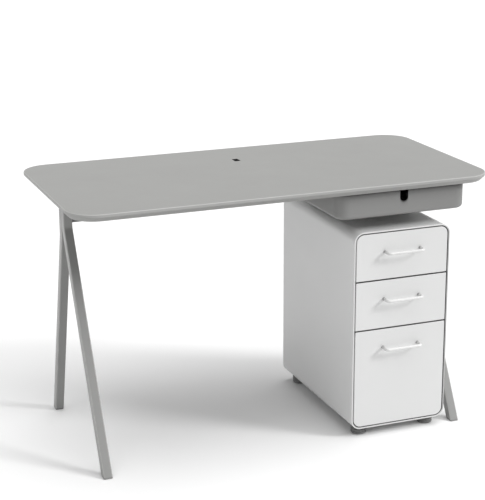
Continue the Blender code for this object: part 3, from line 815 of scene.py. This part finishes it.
def make_rail():
    """The rail: a rounded hollow section carried from one A-frame to the other."""
    low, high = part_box("cross_rail")
    centre = (middle(low.y, high.y), middle(low.z, high.z))
    half_a, half_b = (high.y - low.y) / 2, (high.z - low.z) / 2
    stations = [low.x, low.x * RAIL_MIDDLE, high.x * RAIL_MIDDLE, high.x]
    outside = [(0.0, x) for x in stations]
    inside = [(RAIL_WALL, x) for x in stations[::-1]]
    rings = []
    for inset, x in outside + inside:
        flat = inset_outline(half_a, half_b, RAIL_CORNER, inset, per_corner=6, shares=TUBE_SHARES)
        across, up = flat[:, 0] + centre[0], flat[:, 1] + centre[1]
        rings.append(np.stack([np.full(len(flat), x), across, up], axis=1))
    # The rail takes the darker copy of the frame paint, which stands for painted shade under the top.
    return loft("underframe_rail", rings, shaded_frame_paint, closed=True)


# The slim drawer.


def make_tray():
    """The slim drawer: from the middle of its underside out and round its lower edge, up the
    wall, over a rounded rim whose height dips at the finger slot and steps down at the back, and
    down inside to the floor. Every ring shares one set of columns."""
    low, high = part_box("slim_drawer_tray")
    centre = (middle(low.x, high.x), middle(low.y, high.y))
    half_x, half_y = (high.x - low.x) / 2, (high.y - low.y) / 2
    track_low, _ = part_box("slim_runner_track_left")
    back_top = track_low.z - LOW_BACK_CLEARANCE

    # Columns along the front wall: the slot's lip, its drafted side, then its round bottom.
    radius = FINGER_WIDTH / 2
    lip = FINGER_LIP_ROUND
    bottom_z = high.z - FINGER_DEPTH
    lip_turn = steps(5) * np.pi / 2
    lip_x = radius + FINGER_DRAFT + lip * (1 - np.sin(lip_turn))
    lip_z = high.z - lip * (1 - np.cos(lip_turn))
    arc = steps(16) * np.pi / 2
    arc_x = radius * np.cos(arc)
    arc_z = bottom_z + radius * (1 - np.sin(arc))
    half_slot_x = np.concatenate([lip_x, arc_x])
    half_slot_z = np.concatenate([lip_z, arc_z])
    slot_x = np.concatenate([-half_slot_x, half_slot_x[-2::-1]])
    slot_z = np.concatenate([half_slot_z, half_slot_z[-2::-1]])
    straight = half_x - TRAY_CORNER
    plain_x = straight * np.array([-0.985, -0.8, -0.6, -0.4, -0.2])
    front_x = np.concatenate([plain_x, slot_x, -plain_x[::-1]])
    plain_z = np.full(len(plain_x), high.z)
    front_z = np.concatenate([plain_z, slot_z, plain_z])

    # Columns along the side walls: the rim falls to the low back just before the rear corner.
    straight_y = 2 * (half_y - TRAY_CORNER)
    fall = steps(8)
    drop_y = 1 - LOW_BACK_STEP / straight_y * (1.02 - fall)
    drop_z = high.z + (back_top - high.z) * fall * fall * (3 - 2 * fall)
    level_y = np.array([0.01, 0.1, 0.3, 0.5, 0.7, 0.88])
    side_share = np.concatenate([level_y, drop_y])
    side_z = np.concatenate([np.full(len(level_y), high.z), drop_z])
    shares = {
        1: (1 - side_share)[::-1],
        2: (front_x / straight + 1) / 2,
        3: side_share,
    }
    arc_low = np.full(TRAY_CORNER_STEPS + 1, back_top)
    arc_high = np.full(TRAY_CORNER_STEPS + 1, high.z)
    back_z = np.full(len(PLAIN_SHARES), back_top)
    rear = [arc_low, back_z, arc_low]
    front = [arc_high, front_z, arc_high]
    rim = np.concatenate([*rear, side_z[::-1], *front, side_z])

    columns = {"per_corner": TRAY_CORNER_STEPS, "shares": shares}
    rings, exposed, shaded = [], [], []

    def take(inset, z, edge=0.0, painted_shade=0.0):
        """Adds the tray's outline, moved inwards, at one height or a height for each column."""
        flat = inset_outline(half_x, half_y, TRAY_CORNER, inset, **columns)
        rings.append(ring(flat, "xy", z, centre))
        exposed.append(edge)
        shaded.append(painted_shade)

    for inset in TRAY_FLOOR_INSETS:
        take(inset, low.z)
    for inset, rise in quarter_round(TRAY_BOTTOM_ROUND, 8):
        take(inset, low.z + rise, edge=0.3)
    wall_foot = low.z + TRAY_BOTTOM_ROUND
    lip_radius = TRAY_WALL / 2
    wall_height = rim - lip_radius - wall_foot
    # The wall takes painted shade towards its rim, which lies in the gap under the top.
    for share, painted_shade in ((0.05, 0.0), (0.35, 0.0), (0.7, 0.08), (0.88, 0.3), (0.96, 0.8)):
        take(0.0, wall_foot + wall_height * share, painted_shade=painted_shade)
    for turn in steps(8) * np.pi:
        inset = lip_radius * (1 - math.cos(turn))
        take(inset, rim - lip_radius + lip_radius * math.sin(turn), painted_shade=1.0)
    for share in (0.3, 0.65, 0.97):
        take(TRAY_WALL, rim - lip_radius - wall_height * share)
    floor_z = low.z + TRAY_WALL
    for inset, rise in quarter_round(TRAY_BOTTOM_ROUND - TRAY_WALL, 6)[::-1]:
        take(TRAY_WALL + inset, floor_z + rise)
    for inset in TRAY_FLOOR_INSETS[::-1]:
        take(inset, floor_z)
    return loft(
        "slim_drawer_shell", rings, tray_plastic, edge=exposed, painted_shade=shaded, crease=40.0
    )


# The pedestal.


def make_wrap():
    """The case: a profile of (inset, y, how exposed), from the rear edge forward, round the folded
    hem and back along the inside of the sheet, carried round the rounded rectangle of the front
    view. The inner side, in the gap round the fronts, takes painted shade, all but its left, and
    the rim takes painted shade on the far side."""
    low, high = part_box("pedestal_case")
    centre = (middle(low.x, high.x), middle(low.z, high.z))
    half_a, half_b = (high.x - low.x) / 2, (high.z - low.z) / 2
    span = high.y - low.y
    profile = [(0.0, high.y - CUT_EASE, 0.2)]
    for share in (0.98, 0.8, 0.6, 0.4, 0.2, 0.05):
        profile.append((0.0, low.y + span * share, 0.0))
    for inset, back in quarter_round(CASE_EDGE_ROUND, 5)[::-1]:
        profile.append((inset, low.y + back, 1.0))
    for drop, inset in quarter_round(CASE_EDGE_ROUND / 2, 4)[::-1]:
        profile.append((CASE_HEM - drop, low.y + inset, 0.7))
    hem_y = low.y + CASE_HEM_DEPTH
    profile.append((CASE_HEM, low.y + CASE_HEM_DEPTH * 0.3, 0.0))
    profile.append((CASE_HEM, hem_y - FOLD_EASE, 0.0))
    profile.append((CASE_HEM - FOLD_EASE, hem_y, 0.2))
    profile.append((CASE_SHEET + FOLD_EASE / 2, hem_y, 0.0))
    for share in (0.03, 0.25, 0.5, 0.75, 1.0):
        profile.append((CASE_SHEET, hem_y + (span - CASE_HEM_DEPTH) * share, 0.0))
    rings = []
    for inset, y, _ in profile:
        flat = inset_outline(half_a, half_b, CASE_CORNER, inset, per_corner=14)
        rings.append(ring(flat, "xz", y, centre))
    edge = [exposed for _, _, exposed in profile]
    insets, depths = np.array([(inset, y - low.y) for inset, y, _ in profile]).T
    sunk = (insets > CASE_HEM * 0.9) & (depths > CASE_EDGE_ROUND)
    rim = (insets > HAIR) & (depths < CASE_EDGE_ROUND + HAIR)
    flat = outline(half_a, half_b, CASE_CORNER, per_corner=14)
    near_side = np.clip(1 - (flat[:, 0] + half_a) / GAP_FADE, 0.0, 1.0)
    far_side = np.clip(1 + (flat[:, 0] - half_a) / GAP_FADE, 0.0, 1.0)
    # Painted shade: the hem's inner side in the gap, and the rim on the right.
    painted_shade = np.maximum(sunk[:, None] * (1 - near_side), RIM_SHADE * rim[:, None] * far_side)
    return loft("pedestal_wrap", rings, pedestal_paint, edge=edge, painted_shade=painted_shade, closed=True)


def make_pan(drawer):
    """A drawer front: a shallow pan. Its profile of (inset, y, how exposed) runs from the middle of
    the face round its edge, back along its side, round the rim and in to the middle of its hollow.
    Its sides take painted shade with the square of their depth, and most on the upper one."""
    low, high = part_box(f"{drawer}_front")
    centre = (middle(low.x, high.x), middle(low.z, high.z))
    half_a, half_b = (high.x - low.x) / 2, (high.z - low.z) / 2
    plain, large = PAN_PLAIN_CORNER, PAN_CORNER
    radii = {
        "top_drawer": (large, large, plain, plain),
        "middle_drawer": (plain, plain, plain, plain),
        "file_drawer": (plain, plain, large, large),
    }[drawer]
    floor_y = low.y + PAN_SHEET
    ease = 2 * CUT_EASE
    profile = [(inset, low.y, 0.0) for inset in PAN_FACE_INSETS]
    profile.append((PAN_EDGE_ROUND + PAN_FACE_MARGIN, low.y, 0.0))
    for inset, back in quarter_round(PAN_EDGE_ROUND, 6):
        profile.append((inset, low.y + back, 1.0))
    profile += [(0.0, low.y + 2 * PAN_EDGE_ROUND, 0.0), (0.0, high.y - ease, 0.0)]
    profile += [(CUT_EASE, high.y, 0.3), (PAN_SHEET - CUT_EASE, high.y, 0.3)]
    profile += [(PAN_SHEET, high.y - ease, 0.0), (PAN_SHEET, floor_y + ease, 0.0)]
    profile.append((PAN_SHEET + ease, floor_y, 0.0))
    profile += [(inset, floor_y, 0.0) for inset in PAN_FACE_INSETS[::-1]]
    rings = []
    for inset, y, _ in profile:
        flat = inset_outline(half_a, half_b, radii, inset, per_corner=12)
        rings.append(ring(flat, "xz", y, centre))
    edge = [exposed for _, _, exposed in profile]
    insets, depths = np.array([(inset, y - low.y) for inset, y, _ in profile]).T
    sunk = np.where(insets < PAN_SHEET, np.minimum(1.0, depths / PAN_EDGE_ROUND) ** 2, 0.0)
    flat = outline(half_a, half_b, radii, per_corner=12)
    upper_side = np.clip(1 + (flat[:, 1] - half_b) / GAP_FADE, 0.0, 1.0)
    # Painted shade on the pan's sides in the gap round the front, most on the upper side.
    shade_amount = PAN_SIDE_SHADE + (PAN_TOP_SHADE - PAN_SIDE_SHADE) * upper_side
    painted_shade = sunk[:, None] * shade_amount
    return loft(f"{drawer}_pan", rings, pedestal_paint, edge=edge, painted_shade=painted_shade)


def make_bin(drawer):
    """A drawer box of folded sheet: round its underside, up the wall, over a hem folded in on
    itself along the rim, and down inside to the floor."""
    low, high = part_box(f"{drawer}_box")
    centre = (middle(low.x, high.x), middle(low.y, high.y))
    half_a, half_b = (high.x - low.x) / 2, (high.y - low.y) / 2
    fold = BOX_HEM / 2
    profile = [(BOX_FLOOR_INSETS[1], low.z, 0.0), (BOX_CORNER + BOX_FLOOR_ROUND, low.z, 0.0)]
    for inset, rise in quarter_round(BOX_CORNER * 0.8, 4):
        profile.append((inset, low.z + rise, 0.4))
    profile += [(0.0, low.z + (high.z - low.z) * share, 0.0) for share in (0.1, 0.5, 0.9)]
    for turn in steps(8) * np.pi:
        profile.append((fold * (1 - math.cos(turn)), high.z - fold + fold * math.sin(turn), 1.0))
    hem_z = high.z - BOX_HEM_HEIGHT
    profile += [(BOX_HEM, hem_z, 0.3), (BOX_HEM - CUT_EASE, hem_z - FOLD_EASE, 0.2)]
    profile.append((BOX_SHEET, hem_z - FOLD_EASE, 0.0))
    floor_z = low.z + BOX_SHEET
    profile += [(BOX_SHEET, hem_z + (floor_z - hem_z) * share, 0.0) for share in (0.1, 0.5, 0.95)]
    for inset, rise in quarter_round(BOX_FLOOR_ROUND, 3)[::-1]:
        profile.append((BOX_SHEET + inset, floor_z + rise, 0.0))
    profile += [(inset, floor_z, 0.0) for inset in BOX_FLOOR_INSETS]
    rings = []
    for inset, z, _ in profile:
        flat = inset_outline(half_a, half_b, BOX_CORNER, inset, per_corner=5)
        rings.append(ring(flat, "xy", z, centre))
    edge = [exposed for _, _, exposed in profile]
    return loft(f"{drawer}_bin", rings, pedestal_paint, edge=edge)


def make_pull(drawer):
    """A handle: a round section carried out from the front, across and back. Each end takes
    painted shade over its last rings, where its post meets the front."""
    low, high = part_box(f"{drawer}_handle")
    radius = HANDLE_ROD / 2
    z = middle(low.z, high.z)
    left, right = low.x + radius, high.x - radius
    bar_y = low.y + radius
    corners = [(left, high.y, z), (left, bar_y, z), (right, bar_y, z), (right, high.y, z)]
    path = bent_line(corners, HANDLE_BEND, 14)
    post = (path[1] - path[0]) * np.array(POST_SHARES)[:, None]
    path = np.concatenate([path[0] + post, path[1:-1], path[-1] + post[::-1]])
    # Painted shade at the foot of each post.
    run = np.minimum(np.arange(len(path)), np.arange(len(path))[::-1])
    painted_shade = np.interp(run, [0, 1, 2, 3, 12], [1.0, 0.85, 0.5, 0.3, 0.0])
    angle = steps(28)[:-1] * 2 * np.pi
    section = radius * np.stack([np.cos(angle), np.sin(angle)], axis=1)
    return sweep(f"{drawer}_pull", path, section, (0, 0, 1), handle_enamel, painted_shade=painted_shade)


def make_stud(end, side):
    """A pedestal foot: a ribbed profile turned about its axis. The profile is (share of the radius,
    height in ribs, how exposed)."""
    low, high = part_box(f"pedestal_foot_{end}_{side}")
    x, y = middle(low.x, high.x), middle(low.y, high.y)
    radius = (high.x - low.x) / 2
    rib = (high.z - low.z) / (2 * FOOT_RIBS + 1)
    profile = [(0.3, 0.0, 0.0), (0.85, 0.0, 0.2), (0.95, 0.25, 0.9), (1.0, 0.8, 0.8)]
    for index in range(FOOT_RIBS):
        level = 2 * index + 1
        profile += [
            (1.0, level + 0.40, 0.6), (0.985, level + 0.58, 1.0), (0.88, level + 0.85, 0.2),
            (0.86, level + 1.0, 0.0), (0.86, level + 1.3, 0.0), (0.88, level + 1.45, 0.2),
            (0.985, level + 1.68, 1.0), (1.0, level + 1.82, 0.6),
        ]
    profile += [(1.0, 2 * FOOT_RIBS + 1.0, 0.3), (0.5, 2 * FOOT_RIBS + 1.0, 0.0)]
    shape = np.array(profile)
    angle = steps(64)[:-1] * 2 * np.pi
    rings = np.stack(
        [
            x + radius * shape[:, :1] * np.cos(angle),
            y + radius * shape[:, :1] * np.sin(angle),
            low.z + np.repeat(shape[:, 1:2] * rib, len(angle), axis=1),
        ],
        axis=-1,
    )
    return loft(f"pedestal_stud_{end}_{side}", rings, foot_rubber, edge=shape[:, 2])


settle(make_top(), "desk", "grey_top", "desktop")
settle(make_slot_liner(), "desk", "black_plastic", "cable_grommet")
settle(make_rail(), "desk", "grey_paint", "cross_rail")
settle(make_tray(), "slim_drawer", "grey_tray", "slim_drawer_tray")
settle(make_wrap(), "desk", "white_paint", "pedestal_case")
for end in ENDS:
    for side in SIDES:
        settle(make_leg(end, side), "desk", "grey_paint", f"{end}_leg_{side}")
        settle(make_shoe(end, side), "desk", "grey_tray", f"{end}_leg_glide_{side}")
        settle(make_stud(end, side), "desk", "dark_plastic", f"pedestal_foot_{end}_{side}")
for drawer in DRAWERS:
    settle(make_pan(drawer), drawer, "white_paint", f"{drawer}_front")
    settle(make_bin(drawer), drawer, "white_paint", f"{drawer}_box")
    settle(make_pull(drawer), drawer, "white_gloss", f"{drawer}_handle")

# The CAD pieces that stay get their finish here.
KEPT_FINISHES = {
    # The leg plates take the darker copy of the frame paint: painted shade.
    "leg_plate": shaded_frame_paint,
    "pedestal_back": pedestal_paint,
    "runner": zinc_plate,
    "screw": zinc_plate,
    "file_rail": zinc_plate,
}
for name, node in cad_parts.items():
    for word, finish in KEPT_FINISHES.items():
        if word in name and not node.hide_render:
            for held in node.material_slots:
                held.material = finish


# Floor, light and camera.


FLOOR_HALF_SIZE = 30.0
FLOOR_DROP = 0.0004


def seen_or_mirrored(tree):
    """1 where the surround is looked at, directly or in a gloss, and 0 where it gives light."""
    path = add(tree, "ShaderNodeLightPath").outputs
    return maths(tree, "MAXIMUM", path["Is Camera Ray"], path["Is Glossy Ray"])


def make_floor():
    """A wide level sheet, so that no edge of it shows. It looks paler than the light it returns."""
    corners = np.array([(-1, -1), (1, -1), (1, 1), (-1, 1)]) * FLOOR_HALF_SIZE
    mesh = bpy.data.meshes.new("studio_floor")
    mesh.from_pydata([(x, y, -FLOOR_DROP) for x, y in corners], [], [(0, 1, 2, 3)])
    made, tree, shader = start_material("studio_white")
    white = blend_colours(tree, seen_or_mirrored(tree), (0.74, 0.74, 0.74), (0.95, 0.95, 0.95))
    tree.links.new(white, shader.inputs["Base Color"])
    shader.inputs["Roughness"].default_value = 0.9
    shader.inputs["Specular IOR Level"].default_value = 0.0
    mesh.materials.append(made)
    floor = bpy.data.objects.new("studio_floor", mesh)
    bpy.context.scene.collection.objects.link(floor)


def make_sun(name, source, strength, spread):
    """A soft even light from one direction, its shadows as soft as its spread in degrees."""
    light = bpy.data.lights.new(name, "SUN")
    light.energy = strength
    light.angle = math.radians(spread)
    lamp = bpy.data.objects.new(name, light)
    lamp.rotation_euler = Vector(source).to_track_quat("Z", "Y").to_euler()
    bpy.context.scene.collection.objects.link(lamp)


def make_world(seen, given):
    """A plain white surround, seen at one strength and giving light at another."""
    world = bpy.data.worlds.new("studio")
    world.use_nodes = True
    tree = world.node_tree
    strength = maths(tree, "MULTIPLY_ADD", seen_or_mirrored(tree), seen - given, given)
    sky = tree.nodes["Background"]
    sky.inputs["Color"].default_value = (1.0, 1.0, 1.0, 1.0)
    tree.links.new(strength, sky.inputs["Strength"])
    bpy.context.scene.world = world


def make_camera(turn, tilt, roll, place, lens):
    """A camera turned about +Z from looking along +Y, tilted down, and rolled a little."""
    turn, tilt, roll = (math.radians(angle) for angle in (turn, tilt, roll))
    ahead = Vector((
        -math.sin(turn) * math.cos(tilt),
        math.cos(turn) * math.cos(tilt),
        -math.sin(tilt),
    ))
    level = Vector((math.cos(turn), math.sin(turn), 0.0))
    upright = level.cross(ahead)
    right = math.cos(roll) * level + math.sin(roll) * upright
    up = math.cos(roll) * upright - math.sin(roll) * level
    lens_data = bpy.data.cameras.new("view")
    lens_data.sensor_width = 36.0
    lens_data.lens = lens
    lens_data.clip_end = 200.0
    camera = bpy.data.objects.new("view", lens_data)
    axes = Matrix((right, up, -ahead)).transposed()
    camera.matrix_world = Matrix.Translation(place) @ axes.to_4x4()
    bpy.context.scene.collection.objects.link(camera)
    bpy.context.scene.camera = camera


make_floor()
make_world(seen=1.0, given=0.33)
make_sun("overhead_light", (0.12, -0.12, 0.98), strength=2.0, spread=64.0)
make_sun("key_light", (0.68, -0.52, 0.52), strength=1.42, spread=16.0)
make_sun("side_light", (-0.93, -0.30, 0.22), strength=0.30, spread=50.0)
make_camera(
    turn=-21.279,
    tilt=16.486,
    roll=-0.281,
    place=(-1.4529, -3.6426, 1.6606),
    lens=104.515,
)
bpy.context.scene.view_settings.view_transform = "Standard"

bpy.context.view_layer.update()
